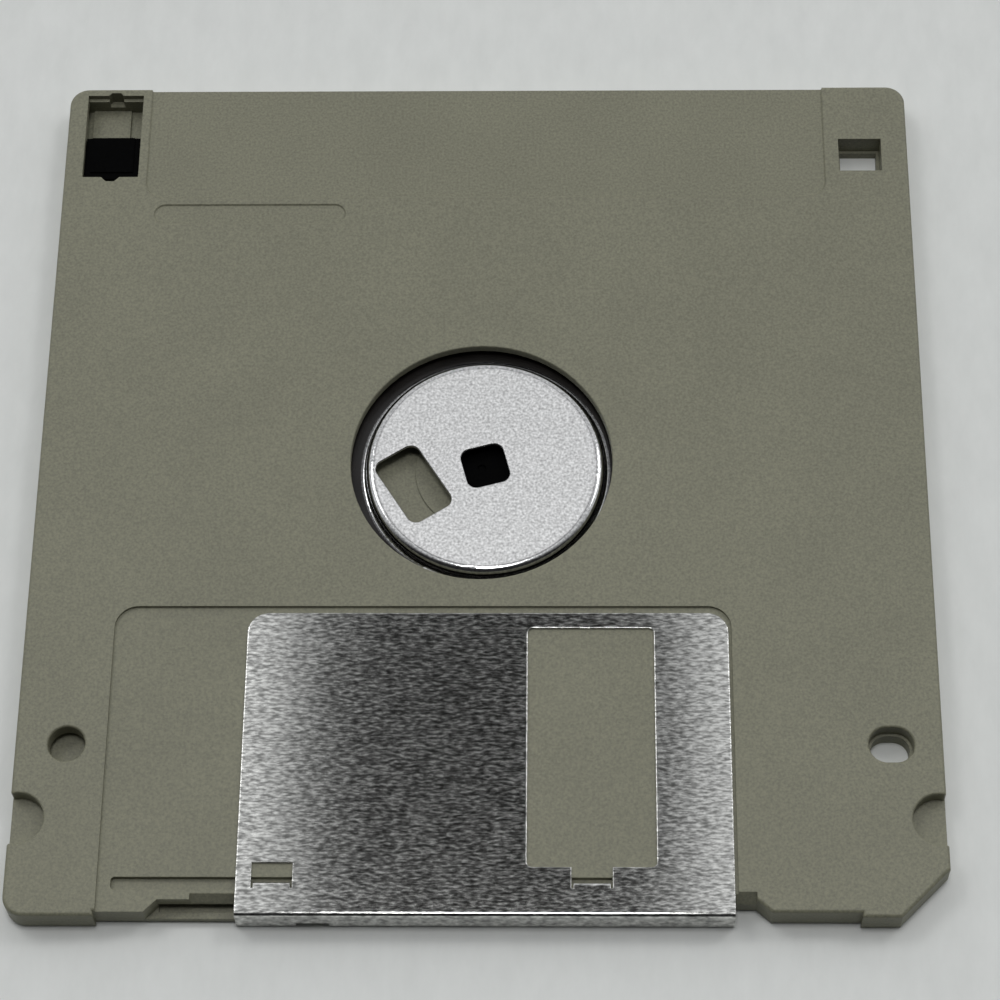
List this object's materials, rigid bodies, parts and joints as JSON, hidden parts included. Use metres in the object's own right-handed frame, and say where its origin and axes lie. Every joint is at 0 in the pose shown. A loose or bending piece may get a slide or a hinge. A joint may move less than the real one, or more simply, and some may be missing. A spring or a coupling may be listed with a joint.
{
  "type": "floppy disk",
  "caption": "Flat square data disk cartridge: two moulded shells around a coated film, with a sliding metal shutter, a steel hub and a write-protect slider.",
  "frame": {"origin": "middle of the underside, which is the label side that it lies on", "axes": "+X to the right with the shutter nearest, +Y away from the shutter, +Z out of the hub side"},
  "size_m": [0.09, 0.094, 0.0033],
  "materials": {
    "case_plastic": "moulded warm grey plastic with a fine sparkle texture",
    "shutter_steel": "rolled stainless sheet with fine streaks across its travel",
    "hub_steel": "matt speckled steel with a polished rim",
    "coated_film": "dark brown coated film",
    "adhesive_tape": "thin double-sided tape",
    "liner_fabric": "white non-woven fabric",
    "black_plastic": "satin black plastic",
    "leaf_plastic": "thin bent film",
    "spring_wire": "drawn spring wire"
  },
  "bodies": {
    "case": {"back_shell": "case_plastic", "front_shell": "case_plastic", "back_liner": "liner_fabric", "front_liner": "liner_fabric", "wear_pad": "black_plastic", "liner_lifter": "leaf_plastic", "shutter_spring": "spring_wire"},
    "shutter": {"shutter": "shutter_steel"},
    "disk": {"hub": "hub_steel", "magnetic_disk": "coated_film", "hub_adhesive_ring": "adhesive_tape"},
    "slider": {"write_protect_slider": "black_plastic"}
  },
  "joints": [
    {"name": "shutter_slide", "type": "slide", "parent": "case", "child": "shutter", "axis": [-1, 0, 0], "range_m": [0, 0.012], "stiffness_N_per_m": 60, "springref_m": -0.006, "deforming": ["shutter_spring"]},
    {"name": "disk_spin", "type": "hinge", "parent": "case", "child": "disk", "pos_m": [0.00038, 0.00114, 0.0017], "axis": [0, 0, 1], "continuous": true},
    {"name": "protect_slide", "type": "slide", "parent": "case", "child": "slider", "axis": [0, 1, 0], "range_m": [0, 0.0047]}
  ]
}
